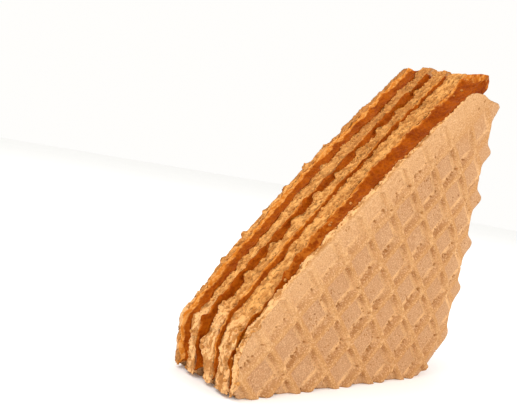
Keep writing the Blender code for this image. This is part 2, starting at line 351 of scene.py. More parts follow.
@dataclass(frozen=True)
class Stack:
    """The nine layers, the seams between them and the two outer faces, in cells."""

    layers: tuple[Layer, ...] = LAYERS
    seams: tuple[Seam, ...] = SEAMS
    front: Relief = Relief((-0.085, -0.055), 31)
    back: Relief = Relief((0.30, 0.45), 47)
    sink: float = 0.012

    def outer(self, index: int, side: Side) -> Relief | None:
        """Pattern of this face where it is an outer face of the whole stack."""
        if index + side.value == 0:
            return self.front
        return self.back if index + side.value == len(self.layers) else None

    def face_depth(self, index: int, side: Side, u: np.ndarray, v: np.ndarray) -> np.ndarray:
        """Depth of a face of a layer.

        Args:
            index: Number of the layer, from the front.
            side: Which of its two faces.
            u: Places along the cut.
            v: Places across the cut.

        Returns:
            Depths in cells.
        """
        number = index + side.value
        seam = self.seams[number]
        relief = self.outer(index, side)
        if relief:
            fade = 1.0 if side is Side.FRONT else ease(u, -0.3, 1.2)
            inward = 1.0 if side is Side.FRONT else -1.0
            return seam.depth(u) + inward * relief.sunk(u, v) * fade
        into_sheet = -1.0 if self.layers[number].kind is Kind.CARAMEL else 1.0
        ragged = ripple(u, v, 0.26, 60 + number) + 0.9 * ripple(u, v, 0.11, 80 + number)
        ragged = seam.ripple * ragged * (0.7 + 0.6 * ripple(u, v, 0.9, 90 + number))
        depth = seam.depth(u) + into_sheet * seam.hollow * seam.wave(u) + ragged
        if self.layers[index].kind is Kind.CARAMEL:
            depth = depth + (self.sink if side is Side.FRONT else -self.sink)
        if self.layers[index].squeezed and side is Side.FRONT:
            x, z = to_plan(u, v)
            depth = depth - 0.08 * ease(z, 6.50, 6.75) * ease(x, 7.0, 7.6)
        return depth


@dataclass
class Outline:
    """Plan outline of one layer, resampled evenly, counter-clockwise seen from the front."""

    plan: Plan
    layer: Layer
    seed: int
    step: float = 0.030
    smoothing: int = 3
    turning: int = 30
    knife_reach: tuple[float, float] = (0.15, 0.35)
    points: np.ndarray = field(init=False)
    normals: np.ndarray = field(init=False)
    places: np.ndarray = field(init=False)
    knife: np.ndarray = field(init=False)
    topped: np.ndarray = field(init=False)
    calm: np.ndarray = field(init=False)

    def __post_init__(self) -> None:
        """Work out the points, their normals, and how much each was cut by the knife."""
        corners = self.sheet_corners() if self.layer.kind is Kind.WAFER else self.filling_corners()
        loop = np.array(corners + corners[:1])
        lengths = np.hypot(*np.diff(loop, axis=0).T)
        along = np.concatenate([[0.0], np.cumsum(lengths)])
        count = int(round(along[-1] / self.step))
        self.places = np.linspace(0.0, along[-1], count, endpoint=False)
        points = np.stack([np.interp(self.places, along, loop[:, axis]) for axis in (0, 1)], axis=1)
        for _ in range(self.smoothing):
            points = (np.roll(points, 1, axis=0) + 2.0 * points + np.roll(points, -1, axis=0)) / 4.0
        tangent = np.roll(points, -1, axis=0) - np.roll(points, 1, axis=0)
        for _ in range(self.turning):
            tangent = (np.roll(tangent, 1, axis=0) + 2.0 * tangent + np.roll(tangent, -1, axis=0)) / 4.0
        tangent /= np.linalg.norm(tangent, axis=1, keepdims=True)
        self.points = points
        self.normals = np.stack([tangent[:, 1], -tangent[:, 0]], axis=1)
        u, v = to_grid(*points.T)
        near, far = self.knife_reach
        on_cut = 1.0 - ease(v, self.plan.cut_v + near, self.plan.cut_v + far)
        on_end = 1.0 - ease(points[:, 0], self.plan.left + near, self.plan.left + far)
        on_top = ease(points[:, 1], self.layer.top - far, self.layer.top - near)
        if self.layer.squeezed:
            on_top = np.zeros_like(on_top)
            on_cut = on_cut * (1.0 - ease(points[:, 1], self.layer.top - 0.18, self.layer.top - 0.04))
        self.knife = np.maximum(np.maximum(on_cut, on_end), on_top)
        self.topped = on_top
        self.calm = self.layer.calm * ease(u, -0.6, 1.2)

    def rough(self, through: float) -> np.ndarray:
        """How broken the wall is this share of the way through: a calm sheet breaks only at its back."""
        return self.knife * (1.0 - self.calm * (1.0 - float(ease(np.array(through), 0.40, 0.85))))

    def cut_corners(self) -> list[tuple[float, float]]:
        """Corners of the straight cut and of its eased lower end."""
        plan = self.plan
        share = LAYERS.index(self.layer) / (len(LAYERS) - 1)
        top_v = plan.cut_v - plan.lean * share
        top_u = top_v + self.layer.top * ROOT2
        corner_u = plan.left * ROOT2 - plan.cut_v
        eased = 0.38 - 0.26 * share
        low_z = to_plan(corner_u, plan.cut_v)[1] - eased
        return [
            to_plan(top_u, top_v),
            to_plan(corner_u + eased, plan.cut_v),
            (plan.left, low_z),
        ]

    def sheet_corners(self) -> list[tuple[float, float]]:
        """Corners of a sheet: base, broken corner, toothed side, broken top and cut."""
        plan, top = self.plan, self.layer.top
        corner_x = to_plan(plan.chamfer_v + plan.base * ROOT2, plan.chamfer_v)[0]
        corners = [(plan.left, plan.base)]
        notch = plan.left + plan.tip_pitch
        while notch < corner_x - plan.tip_pitch / 2.0:
            corners += [(notch - 0.25, plan.base), (notch, plan.base + plan.notch)]
            corners.append((notch + 0.10, plan.base))
            notch += plan.tip_pitch
        corners.append((corner_x, plan.base))
        corners += self.scalloped_side()
        cut = self.cut_corners()
        last_x = corners[-1][0] - 0.03
        span = last_x - cut[0][0]
        corners += [(last_x, top), (last_x - 0.35 * span, top + 0.01)]
        corners.append((last_x - 0.70 * span, top + 0.05))
        return corners + cut

    def scalloped_side(self) -> list[tuple[float, float]]:
        """Points up the natural side of a sheet, with a soft tip at each row of hollows."""
        plan = self.plan
        start = (plan.valley - 0.10 - plan.chamfer_v * ROOT2) + 0.02
        z = np.arange(start, self.layer.top, 0.06)
        reach = np.full_like(z, plan.valley - 0.12)
        reach = reach + 0.12 * ease(z, -0.6, 1.8) + 0.10 * ease(z, 4.8, 5.5) * (1.0 - ease(z, 6.2, 6.5))
        reach = reach + 0.03 * ripple(z, z, 0.8, self.seed + 5)
        for number, height in enumerate(plan.tip_reach):
            offset = z - plan.first_tip - (number - 1) * plan.tip_pitch
            width = np.where(offset < 0.0, 0.50, 0.28)
            near = np.clip(1.0 - np.abs(offset) / width, 0.0, 1.0)
            bump = near ** 1.4 if number == len(plan.tip_reach) - 1 else ease(near, 0.0, 1.0)
            reach = reach + height * bump
        return list(zip(reach.tolist(), z.tolist()))

    def filling_corners(self) -> list[tuple[float, float]]:
        """Corners of a caramel layer, which stops short of the sheets except along the cut."""
        plan = self.plan
        base = plan.base + plan.setback
        corner_v = plan.chamfer_v - plan.setback
        side_x = plan.valley - 0.11 - plan.setback
        corners = [(plan.left + plan.setback / 2.0, base)]
        corners.append(to_plan(corner_v + base * ROOT2, corner_v))
        corners.append(to_plan(side_x * ROOT2 - corner_v, corner_v))
        if self.layer.squeezed:
            corners += list(plan.squeezed_edge)
        else:
            corners.append((side_x, self.layer.top))
        return corners + self.cut_corners()

    def rim(self, side: Side) -> np.ndarray:
        """Points of the outline on one face of the layer, broken or rounded along the knife's cut."""
        seed = self.seed + 50 * side.value
        coarse = wander(self.places, 0.62, seed)
        fine = wander(self.places, 0.17, seed + 1)
        tiny = wander(self.places, 0.07, seed + 2)
        if self.layer.kind is Kind.WAFER:
            inward = 0.026 * (1.0 + coarse) + 0.022 * (1.0 + fine) + 0.014 * (1.0 + tiny)
            inward = inward * (0.12 + 0.88 * self.rough(float(side.value))) * (1.0 - 0.5 * self.topped)
        else:
            inward = 0.030 + 0.030 * (1.0 + coarse) + 0.014 * (1.0 + fine)
        return self.points - self.normals * inward[:, None]


def inside(points: np.ndarray, loop: np.ndarray, clearance: float) -> np.ndarray:
    """Which points lie inside a closed loop and not too near to it.

    Args:
        points: Points to test, as rows of (x, z).
        loop: Corners of the loop in order.
        clearance: Least distance from any corner of the loop.

    Returns:
        A mask over the points.
    """
    ends = np.roll(loop, -1, axis=0)
    kept = np.zeros(len(points), bool)
    for first in range(0, len(points), 2000):
        part = points[first:first + 2000]
        above = (loop[None, :, 1] > part[:, None, 1]) != (ends[None, :, 1] > part[:, None, 1])
        slope = (ends[:, 0] - loop[:, 0]) / (ends[:, 1] - loop[:, 1] + 1e-12)
        crossing = slope * (part[:, None, 1] - loop[None, :, 1]) + loop[None, :, 0]
        odd = (above & (part[:, None, 0] < crossing)).sum(axis=1) % 2 == 1
        gaps = np.square(part[:, None, :] - loop[None, :, :]).sum(axis=2).min(axis=1)
        kept[first:first + 2000] = odd & (gaps > clearance * clearance)
    return kept


@dataclass
class Pits:
    """Small open bubbles on a baked face, in grid coordinates."""

    seed: int
    crease_share: float = 0.5
    loose_per_cell: float = 1.3
    depth: float = 0.032
    centres: np.ndarray = field(init=False)
    radii: np.ndarray = field(init=False)
    turns: np.ndarray = field(init=False)

    def __post_init__(self) -> None:
        """Scatter the pits: many in the far corners of the hollows, and a few anywhere."""
        rng = np.random.default_rng(self.seed)
        centres, radii = [], []
        for u in range(-2, 11):
            for v in range(0, 7):
                if rng.random() < self.crease_share:
                    corner = rng.uniform(0.70, 0.86)
                    centres.append((u + corner, v + corner + rng.uniform(-0.08, 0.05)))
                    radii.append((rng.uniform(0.035, 0.075), rng.uniform(0.025, 0.045)))
                for _ in range(rng.integers(0, 6)):
                    centres.append((u + rng.uniform(-0.02, 0.7), v + rng.normal(0.745, 0.025)))
                    radii.append((rng.uniform(0.018, 0.080), rng.uniform(0.014, 0.040)))
                for _ in range(rng.poisson(self.loose_per_cell)):
                    first = (u + rng.random(), v + rng.random())
                    for _ in range(rng.integers(1, 4)):
                        shift = rng.normal(0.0, 0.07, 2)
                        centres.append((first[0] + shift[0], first[1] + shift[1]))
                        radii.append((rng.uniform(0.012, 0.035), rng.uniform(0.010, 0.028)))
        self.centres = np.array(centres)
        self.radii = np.array(radii)
        self.turns = rng.uniform(0.0, math.pi, len(centres))

    def strength(self, u: np.ndarray, v: np.ndarray) -> np.ndarray:
        """How deep each point lies in a pit, from 0 to 1."""
        found = np.zeros(len(u))
        for (pit_u, pit_v), (long, short), turn in zip(self.centres, self.radii, self.turns):
            near = np.flatnonzero((np.abs(u - pit_u) < long) & (np.abs(v - pit_v) < long))
            along = ((u[near] - pit_u) * math.cos(turn) + (v[near] - pit_v) * math.sin(turn)) / long
            across = ((v[near] - pit_v) * math.cos(turn) - (u[near] - pit_u) * math.sin(turn)) / short
            inner = np.clip(1.0 - along * along - across * across, 0.0, 1.0)
            found[near] = np.maximum(found[near], inner)
        return np.sqrt(found)

    def mesh_points(self) -> np.ndarray:
        """Plan points at the middle and round the rims of the pits."""
        turns = np.linspace(0.0, math.tau, 9)[:-1]
        rings = [(self.centres[:, 0], self.centres[:, 1])]
        for share in (0.6, 1.0, 1.25):
            for turn in turns:
                along = share * self.radii[:, 0] * math.cos(turn)
                across = share * self.radii[:, 1] * math.sin(turn)
                shift_u = along * np.cos(self.turns) - across * np.sin(self.turns)
                shift_v = along * np.sin(self.turns) + across * np.cos(self.turns)
                rings.append((self.centres[:, 0] + shift_u, self.centres[:, 1] + shift_v))
        return np.concatenate([np.stack(to_plan(u, v), axis=1) for u, v in rings])


@dataclass
class Shell:
    """One layer as a closed shell: two relief faces and a wall of fine rows between them.

    The two rims are partly crumb: rim_on_outside on an outer face and rim_on_seam on an inner
    one. Crumb is creamy pale at the low end of each sheet and all along the front sheet.
    """

    plan: Plan
    stack: Stack
    index: int
    outer_step: float = 0.042
    inner_step: float = 0.2
    row_height: float = 0.030
    seed: int = 7
    lip_rise: float = 1.6
    bead_highlight: float = 0.55
    rim_on_outside: float = 0.45
    rim_on_seam: float = 0.65
    creamy_end: float = 0.66
    creamy_front: float = 0.70

    @property
    def layer(self) -> Layer:
        """The layer that this shell shows."""
        return self.stack.layers[self.index]

    def lattice(self, side: Side) -> np.ndarray:
        """Plan points inside a face, on lines that follow the edges of the hollows."""
        relief = self.stack.outer(self.index, side)
        step = self.outer_step if relief else self.inner_step
        phase = relief.phase if relief else (0.0, 0.0)
        shares = np.arange(0.0, 0.999, step)
        u = (np.arange(-3, 12)[:, None] + phase[0] + shares).ravel()
        v = (np.arange(-1, 9)[:, None] + phase[1] + shares).ravel()
        grid_u, grid_v = np.meshgrid(u, v)
        return np.stack(to_plan(grid_u.ravel(), grid_v.ravel()), axis=1)

    def face(self, side: Side, rim: np.ndarray) -> tuple[np.ndarray, np.ndarray, np.ndarray]:
        """Triangulate one face.

        Args:
            side: Which face.
            rim: Its outline in plan.

        Returns:
            Plan points with the rim first, triangles, and how deep each point lies in a pit.
        """
        outer = self.stack.outer(self.index, side) is not None
        lattice = self.lattice(side)
        pits = Pits(self.seed + self.index) if outer else None
        if pits:
            u, v = to_grid(*lattice.T)
            lattice = lattice[pits.strength(u, v) == 0.0]
            lattice = np.concatenate([lattice, pits.mesh_points()])
        clearance = 0.6 * self.outer_step if outer else 0.5 * self.inner_step
        lattice = lattice[inside(lattice, rim, clearance)]
        points = np.concatenate([rim, lattice])
        loop = [(i, (i + 1) % len(rim)) for i in range(len(rim))]
        found = delaunay_2d_cdt([Vector(p) for p in points], loop, [], 1, 1e-6)
        triangles, sources = found[2], found[3]
        order = np.array([source[0] if source else -1 for source in sources])
        if (order < 0).any():
            raise RuntimeError(f"the outline of {self.layer.name} crosses itself")
        triangles = order[np.array([t for t in triangles if len(t) == 3])]
        if pits is None:
            return points, triangles, np.zeros(len(points))
        u, v = to_grid(*points.T)
        return points, triangles, pits.strength(u, v)

    def bulge(self, through: np.ndarray, outline: Outline) -> np.ndarray:
        """How far the wall stands out between its two rims, in cells.

        Args:
            through: Share of the way from the front rim to the back rim, one value a row.
            outline: The outline that the wall follows.

        Returns:
            One row of values for each value of through.
        """
        arch = np.sqrt(np.clip(1.0 - np.square(2.0 * through - 1.0), 0.0, 1.0))[:, None]
        swing = wander(outline.places, 0.9, self.seed + 11 * self.index)[None, :]
        quick = wander(outline.places, 0.22, self.seed + 13 * self.index)[None, :]
        if self.layer.kind is Kind.WAFER:
            rough = np.stack([outline.rough(share) for share in through])
            return 0.030 * arch * (0.6 + 0.6 * swing + 0.3 * quick) * rough
        lip = band(through, 0.72, 0.90, 0.93, 1.02)
        trough = -self.layer.trough * np.sin(math.pi * np.clip(through / 0.78, 0.0, 1.0))
        cut = trough[:, None] * (0.9 + 0.4 * swing) + lip[:, None] * (0.04 + 0.05 * quick + 0.03 * swing)
        squeezed = arch * (0.05 + 0.062 * quick)
        return cut * outline.knife[None, :] + squeezed * (1.0 - outline.knife[None, :])

    def build(self) -> bpy.types.Object:
        """Make the closed shell as an object with the attributes that its finish reads."""
        outline = Outline(self.plan, self.layer, self.seed + 10 * self.index)
        rims = {side: outline.rim(side) for side in Side}
        faces = {side: self.face(side, rims[side]) for side in Side}
        depths = {}
        for side in Side:
            points, _, pit = faces[side]
            u, v = to_grid(*points.T)
            depths[side] = self.stack.face_depth(self.index, side, u, v)
            sign = 1.0 if side is Side.FRONT else -1.0
            depths[side] = depths[side] + sign * Pits.depth * pit
        around = len(outline.points)
        thickness = (depths[Side.BACK][:around] - depths[Side.FRONT][:around]).mean()
        rows = max(6, int(round(thickness / self.row_height)))
        through = np.linspace(0.0, 1.0, rows + 1)[1:-1]
        front, back = rims[Side.FRONT], rims[Side.BACK]
        share = through[:, None, None]
        wall = front * (1.0 - share) + back * share
        wall = wall + outline.normals[None] * self.bulge(through, outline)[:, :, None]
        front_depth, back_depth = depths[Side.FRONT][:around], depths[Side.BACK][:around]
        wall_depth = front_depth * (1.0 - through[:, None]) + back_depth * through[:, None]
        front_count, back_count = len(faces[Side.FRONT][0]), len(faces[Side.BACK][0])
        plan_points = np.concatenate([faces[Side.FRONT][0], faces[Side.BACK][0], wall.reshape(-1, 2)])
        depth = np.concatenate([depths[Side.FRONT], depths[Side.BACK], wall_depth.ravel()])
        first_row = front_count + back_count
        ring = [np.arange(around)]
        ring += [first_row + row * around + np.arange(around) for row in range(len(through))]
        ring.append(front_count + np.arange(around))
        quads = []
        for near, far in zip(ring[:-1], ring[1:]):
            quads.append(np.stack([near, far, np.roll(far, -1), np.roll(near, -1)], axis=1))
        front_faces = faces[Side.FRONT][1]
        back_faces = faces[Side.BACK][1][:, ::-1] + front_count
        polygons = front_faces.tolist() + back_faces.tolist() + np.concatenate(quads).tolist()
        mesh = bpy.data.meshes.new(self.layer.name)
        place = self.plan.place(plan_points[:, 0], depth, plan_points[:, 1])
        mesh.from_pydata(place.tolist(), [], polygons)
        pit = np.concatenate([faces[Side.FRONT][2], faces[Side.BACK][2], np.zeros(wall_depth.size)])
        self.write_place(mesh, outline, front_count, back_count, through)
        self.write_bake(mesh, plan_points, depth, pit)
        return add_object(self.layer.name + "_look", mesh)

    def write_place(self, mesh: bpy.types.Mesh, outline: Outline, front_count: int,
                    back_count: int, through: np.ndarray) -> None:
        """Store on each point how far it is on the wall, and which way is out of the layer.

        Args:
            mesh: The mesh of the shell.
            outline: The outline that the wall follows.
            front_count: Number of points on the front face.
            back_count: Number of points on the back face.
            through: Share of the way through the layer, one value for each row of the wall.
        """
        around = len(outline.points)
        outward = np.zeros((len(mesh.vertices), 3))
        wall = np.zeros(len(mesh.vertices))
        share = np.concatenate([np.zeros(front_count), np.ones(back_count), np.repeat(through, around)])
        starts = [0, front_count]
        starts += [front_count + back_count + row * around for row in range(len(through))]
        for number, (start, place) in enumerate(zip(starts, [0.0, 1.0, *through])):
            outward[start:start + around, 0] = outline.normals[:, 0]
            outward[start:start + around, 2] = outline.normals[:, 1]
            strength = 1.0
            if number < 2:
                outer = self.stack.outer(self.index, Side(number))
                strength = self.rim_on_outside if outer else self.rim_on_seam
            rough = outline.rough(place) if self.layer.kind is Kind.WAFER else 1.0
            wall[start:start + around] = strength * rough
        store(mesh, "wall", wall)
        store(mesh, "through", share)
        store(mesh, "outward", outward)
        self.write_filling(mesh, outline, starts, share)

    def write_filling(self, mesh: bpy.types.Mesh, outline: Outline, starts: list[int],
                      share: np.ndarray) -> None:
        """Store on each point how much of the bright lip and of the paler lumps shows there; the lip is
        partly the thin film's own colour and partly painted highlight, and on the bead's top it is painted
        highlight.

        Args:
            mesh: The mesh of the shell.
            outline: The outline that the wall follows.
            starts: Number of the first point of each ring of the wall, the two rims first.
            share: Share of the way through the layer, one value for each point.
        """
        x, z = outline.points.T
        u, _ = to_grid(x, z)
        shown = self.layer.lip_share * ease(u, self.layer.lip_from, self.layer.lip_from + self.lip_rise)
        start = self.layer.lip + 0.09 * wander(outline.places, 0.3, self.seed + self.index)
        bead, lumps = np.zeros(len(x)), np.full(len(x), self.layer.lumps)
        if self.layer.squeezed:
            # painted highlight on the top of the bead
            bead = self.bead_highlight * ease(z, 6.5, 7.0) * ease(x, 7.15, 7.5)
            lumps = lumps * (1.0 - ease(u, 3.2, 5.5))
        lip, grainy = np.zeros(len(share)), np.zeros(len(share))
        for number, first in enumerate(starts):
            ring = slice(first, first + len(x))
            lip[ring] = np.maximum(shown * ease(share[ring] - start, 0.0, 0.15), bead)
            if number > 1:
                grainy[ring] = lumps
        store(mesh, "lip", lip)
        store(mesh, "grainy", grainy)

    def write_bake(self, mesh: bpy.types.Mesh, plan_points: np.ndarray, depth: np.ndarray,
                   pit: np.ndarray) -> None:
        """Store on each point how the baked faces are toned there, painted shade and painted light included.

        Args:
            mesh: The mesh of the shell.
            plan_points: Place of each point in plan.
            depth: Depth of each point in the stack, in cells.
            pit: How deep each point lies in a pit.
        """
        u, v = to_grid(*plan_points.T)
        front = 1.0 - ease(depth, 0.18, 0.30)
        relief = self.stack.front if self.index < len(LAYERS) // 2 else self.stack.back
        shown = front if self.index < len(LAYERS) // 2 else 1.0 - front
        store(mesh, "pit", pit)
        store(mesh, "pad", relief.hollow(u, v) * relief.worn(u, v) * shown)
        # painted shade on the far walls of the hollows and at their feet
        store(mesh, "wall_shade", relief.wall_shade(u, v) * shown)
        # painted highlights on the rims of the floors, the lower walls and the crests
        store(mesh, "rim", relief.lit_rim(u, v) * shown)
        # painted light: the face lighter and yellower near the cut
        store(mesh, "lit_near_cut", (1.0 - ease(v, 0.3, 1.25)) * front)
        store(mesh, "syrup", ease(u, 3.5, 8.0) * ease(depth, 1.4, 2.6))
        front_sheet = self.index == 0
        reach = ease(u, 2.0, 9.0) * 0.5 if front_sheet else np.ones_like(u)
        store(mesh, "soak", reach * (0.3 + 0.7 * ease(plan_points[:, 0], -0.2, 0.4)))
        creamy = self.creamy_end * (1.0 - ease(plan_points[:, 0], -0.2, 0.55))
        store(mesh, "creamy", np.maximum(creamy, self.creamy_front) if front_sheet else creamy)


def store(mesh: bpy.types.Mesh, name: str, values: np.ndarray) -> None:
    """Store one value or one vector for each point of a mesh."""
    kind, key = ("FLOAT", "value") if values.ndim == 1 else ("FLOAT_VECTOR", "vector")
    attribute = mesh.attributes.new(name, kind, "POINT")
    attribute.data.foreach_set(key, values.astype(np.float32).ravel())


class NodeDesk:
    """Adds nodes to a tree and joins them, so that a tree reads as a list of steps."""

    def __init__(self, tree: bpy.types.NodeTree) -> None:
        """Keep the tree that the nodes go into."""
        self.tree = tree

    def add(self, kind: str, **settings: object) -> bpy.types.Node:
        """Add a node of a kind, with its settings."""
        node = self.tree.nodes.new(kind)
        for name, value in settings.items():
            setattr(node, name, value)
        return node

    def feed(self, socket: bpy.types.NodeSocket, value: object) -> None:
        """Join an output to a socket, or set the socket's own value."""
        if isinstance(value, bpy.types.NodeSocket):
            self.tree.links.new(value, socket)
        elif isinstance(value, tuple) and len(value) == 3 and socket.type == "RGBA":
            socket.default_value = (*value, 1.0)
        else:
            socket.default_value = value

    def fill(self, node: bpy.types.Node, inputs: dict[str | int, object]) -> None:
        """Feed several inputs of a node, each by its name or number."""
        for key, value in inputs.items():
            self.feed(node.inputs[key], value)

    def fed(self, kind: str, inputs: dict[str | int, object], **settings: object) -> bpy.types.Node:
        """Add a node of a kind, with its inputs and its settings."""
        node = self.add(kind, **settings)
        self.fill(node, inputs)
        return node

    def read(self, name: str) -> bpy.types.NodeSocket:
        """Value of one of the piece's own attributes, in a shader tree."""
        return self.add("ShaderNodeAttribute", attribute_name=name).outputs["Fac"]

    def named(self, name: str, kind: str = "FLOAT") -> bpy.types.NodeSocket:
        """Value of one of the mesh's attributes, in a geometry tree."""
        node = self.fed("GeometryNodeInputNamedAttribute", {"Name": name}, data_type=kind)
        return node.outputs["Attribute"]

    def math(self, operation: str, *values: object) -> bpy.types.NodeSocket:
        """A step of arithmetic on one, two or three values."""
        node = self.add("ShaderNodeMath", operation=operation)
        for socket, value in zip(node.inputs, values):
            self.feed(socket, value)
        return node.outputs[0]

    def times(self, first: object, *others: object) -> bpy.types.NodeSocket:
        """Two or more values multiplied."""
        for other in others:
            first = self.math("MULTIPLY", first, other)
        return first

    def vector(self, operation: str, *values: object) -> bpy.types.NodeSocket:
        """A step of arithmetic on vectors; a scale's factor is the second value."""
        node = self.add("ShaderNodeVectorMath", operation=operation)
        sockets = [node.inputs[0], node.inputs[3]] if operation == "SCALE" else node.inputs
        for socket, value in zip(sockets, values):
            self.feed(socket, value)
        return node.outputs["Value" if operation in ("DOT_PRODUCT", "LENGTH") else "Vector"]

    def span(self, value: object, low: float, high: float,
             new_low: float = 0.0, new_high: float = 1.0) -> bpy.types.NodeSocket:
        """A value eased from one span to another."""
        node = self.add("ShaderNodeMapRange", interpolation_type="SMOOTHSTEP")
        for socket, number in zip(node.inputs, (value, low, high, new_low, new_high)):
            self.feed(socket, number)
        return node.outputs[0]

    def mix(self, factor: object, first: object, second: object,
            blend: str = "MIX") -> bpy.types.NodeSocket:
        """Two colours mixed by a factor."""
        return self.fed("ShaderNodeMix", {0: factor, 6: first, 7: second}, data_type="RGBA",
                        blend_type=blend).outputs[2]

    def noise(self, place: object, size: object, detail: float = 3.0,
              roughness: float = 0.55) -> bpy.types.NodeSocket:
        """Smooth noise whose lumps have about this size in metres."""
        return self.fed("ShaderNodeTexNoise", {
            "Vector": place, "Scale": self.per(size), "Detail": detail, "Roughness": roughness}).outputs[0]

    def cells(self, place: object, size: object, output: str = "Distance") -> bpy.types.NodeSocket:
        """Distance to, or random colour of, the nearest of many points about this far apart."""
        return self.fed("ShaderNodeTexVoronoi", {"Vector": place, "Scale": self.per(size)}).outputs[output]

    def swirl(self, place: object, size: float, amount: float) -> bpy.types.NodeSocket:
        """A place pushed about at random by up to about this amount, in metres."""
        node = self.fed("ShaderNodeTexNoise", {"Vector": place, "Scale": 1.0 / size})
        shift = self.vector("SUBTRACT", node.outputs["Color"], (0.5, 0.5, 0.5))
        return self.vector("ADD", place, self.vector("SCALE", shift, 2.0 * amount))

    def roughen(self, shader: bpy.types.Node, height: object, strength: float, distance: float) -> None:
        """Give a shader small bumps of a height, at most a distance in metres deep."""
        bump = self.fed("ShaderNodeBump", {"Strength": strength, "Distance": distance, "Height": height})
        self.feed(shader.inputs["Normal"], bump.outputs[0])

    def per(self, size: object) -> object:
        """One divided by a size."""
        return self.math("DIVIDE", 1.0, size) if isinstance(size, bpy.types.NodeSocket) else 1.0 / size


def new_group(kind: str, name: str, inputs: dict[str, object], outputs: dict[str, str]) -> NodeDesk:
    """Start a node group.

    Args:
        kind: Type of the tree.
        name: Name of the group.
        inputs: Name of each input with its default, or with a socket type.
        outputs: Name of each output with its socket type.

    Returns:
        A desk on the new tree, which holds its input and output nodes.
    """
    tree = bpy.data.node_groups.new(name, kind)
    for label, value in inputs.items():
        typed = value if isinstance(value, str) else "NodeSocketFloat"
        socket = tree.interface.new_socket(label, in_out="INPUT", socket_type=typed)
        if not isinstance(value, str):
            socket.default_value = value
    for label, value in outputs.items():
        tree.interface.new_socket(label, in_out="OUTPUT", socket_type=value)
    desk = NodeDesk(tree)
    desk.add("NodeGroupInput").name = "in"
    desk.add("NodeGroupOutput").name = "out"
    return desk


def close_tree(desk: NodeDesk, geometry: bpy.types.NodeSocket) -> bpy.types.NodeTree:
    """End a geometry tree: make what it made real, paint it with the given material, and hand it on."""
    given, result = desk.tree.nodes["in"].outputs, desk.tree.nodes["out"].inputs
    real = desk.fed("GeometryNodeRealizeInstances", {0: geometry}).outputs[0]
    paint = desk.fed("GeometryNodeSetMaterial", {"Geometry": real, "Material": given["Material"]})
    desk.feed(result["Geometry"], paint.outputs[0])
    return desk.tree


def run_tree(obj: bpy.types.Object, tree: bpy.types.NodeTree, values: dict[str, object]) -> bpy.types.Object:
    """Run a geometry tree on an object and keep the result as its plain mesh.

    Args:
        obj: The object whose mesh goes in.
        tree: The geometry tree.
        values: Value for each named input of the tree.

    Returns:
        The same object with the finished mesh and no modifier.
    """
    modifier = obj.modifiers.new(tree.name, "NODES")
    modifier.node_group = tree
    sockets = {item.name: item.identifier for item in tree.interface.items_tree if item.in_out == "INPUT"}
    for name, value in values.items():
        modifier[sockets[name]] = value
    graph = bpy.context.evaluated_depsgraph_get()
    made = bpy.data.meshes.new_from_object(
        obj.evaluated_get(graph), preserve_all_data_layers=True, depsgraph=graph)
    obj.modifiers.remove(modifier)
    obj.data = made
    return obj


class CrumbTree:
    """Geometry tree that breaks a wall open into pores, grains and ragged edges."""

    def __init__(self) -> None:
        """Build the tree once."""
        desk = new_group("GeometryNodeTree", "crumbly_wall", {
            "Geometry": "NodeSocketGeometry", "Pore size": 0.0009, "Pore depth": 0.0005,
            "Grain size": 0.0013, "Grain depth": 0.0006, "Ragged": 0.0003,
            "Material": "NodeSocketMaterial",
        }, {"Geometry": "NodeSocketGeometry"})
        given = desk.tree.nodes["in"].outputs
        place = desk.add("GeometryNodeInputPosition").outputs[0]
        wall, outward = desk.named("wall"), desk.named("outward", "FLOAT_VECTOR")
        bent = desk.swirl(place, 0.0007, 0.0009)
        nearest = desk.cells(bent, given["Pore size"])
        open_pore = desk.span(nearest, 0.15, 0.50, 1.0, 0.0)
        patch = desk.span(desk.noise(place, 0.0022), 0.36, 0.62, 0.1, 1.0)
        large = desk.times(open_pore, patch)
        small = desk.span(desk.noise(bent, 0.0006, 1.0), 0.50, 0.66)
        pore = desk.times(desk.math("MAXIMUM", large, desk.times(small, 0.6)), wall)
        inward = desk.times(pore, given["Pore depth"])
        rough = desk.times(desk.noise(place, given["Grain size"]), wall, given["Grain depth"])
        sink = desk.times(desk.math("ADD", inward, rough), -1.0)
        ragged = desk.math("SUBTRACT", desk.noise(place, 0.0014), 0.5)
        ragged = desk.times(ragged, wall, given["Ragged"], 2.0)
        shift = desk.fed("ShaderNodeCombineXYZ", {1: ragged}).outputs[0]
        offset = desk.vector("ADD", desk.vector("SCALE", outward, sink), shift)
        move = desk.fed("GeometryNodeSetPosition", {"Geometry": given["Geometry"], "Offset": offset})
        marked = desk.fed("GeometryNodeStoreNamedAttribute", {
            "Geometry": move.outputs[0], "Name": "pore", "Value": pore}, data_type="FLOAT", domain="POINT")
        self.tree = close_tree(desk, marked.outputs[0])


